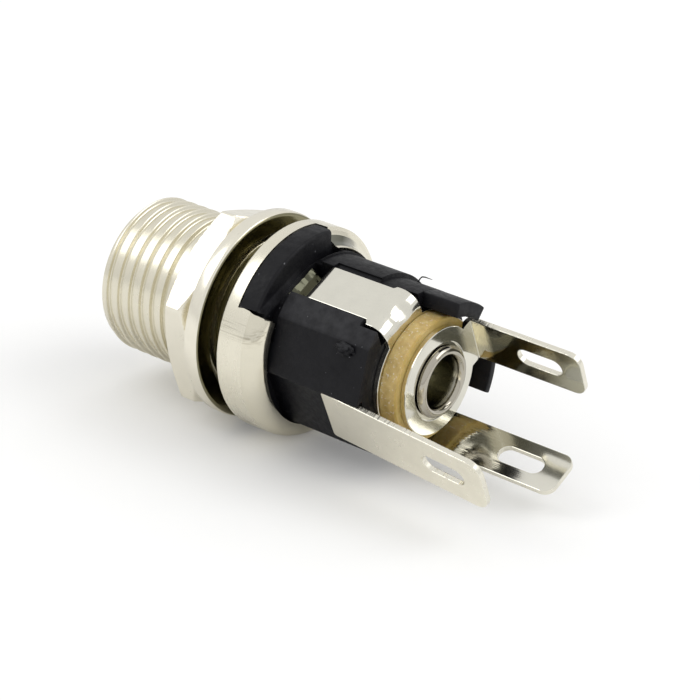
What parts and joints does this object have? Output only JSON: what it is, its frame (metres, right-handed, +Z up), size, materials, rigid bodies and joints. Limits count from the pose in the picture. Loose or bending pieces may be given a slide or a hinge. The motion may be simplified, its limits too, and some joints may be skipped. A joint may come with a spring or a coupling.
{
  "type": "dc barrel jack",
  "caption": "Panel-mount DC barrel jack: threaded bush with flange and collar nut, black moulded body, riveted centre pin and three slotted solder lugs.",
  "frame": {"origin": "centre of the flange face that seats on the panel", "axes": "+X along the jack's axis towards the solder lugs, +Z up for the jack lying on a bench with its contact strip turned 26.7 degrees to one side"},
  "size_m": [0.0335, 0.0144, 0.0144],
  "materials": {
    "nickel": "satin nickel plate",
    "black_plastic": "matt moulded",
    "fibre": "vulcanised fibre"
  },
  "bodies": {
    "root": {"bush": "nickel", "hex_nut": "nickel", "body": "black_plastic", "centre_pin": "nickel", "pin_terminal": "nickel", "insulating_washer": "fibre", "sleeve_contact": "nickel", "shunt_terminal": "nickel"}
  },
  "joints": []
}
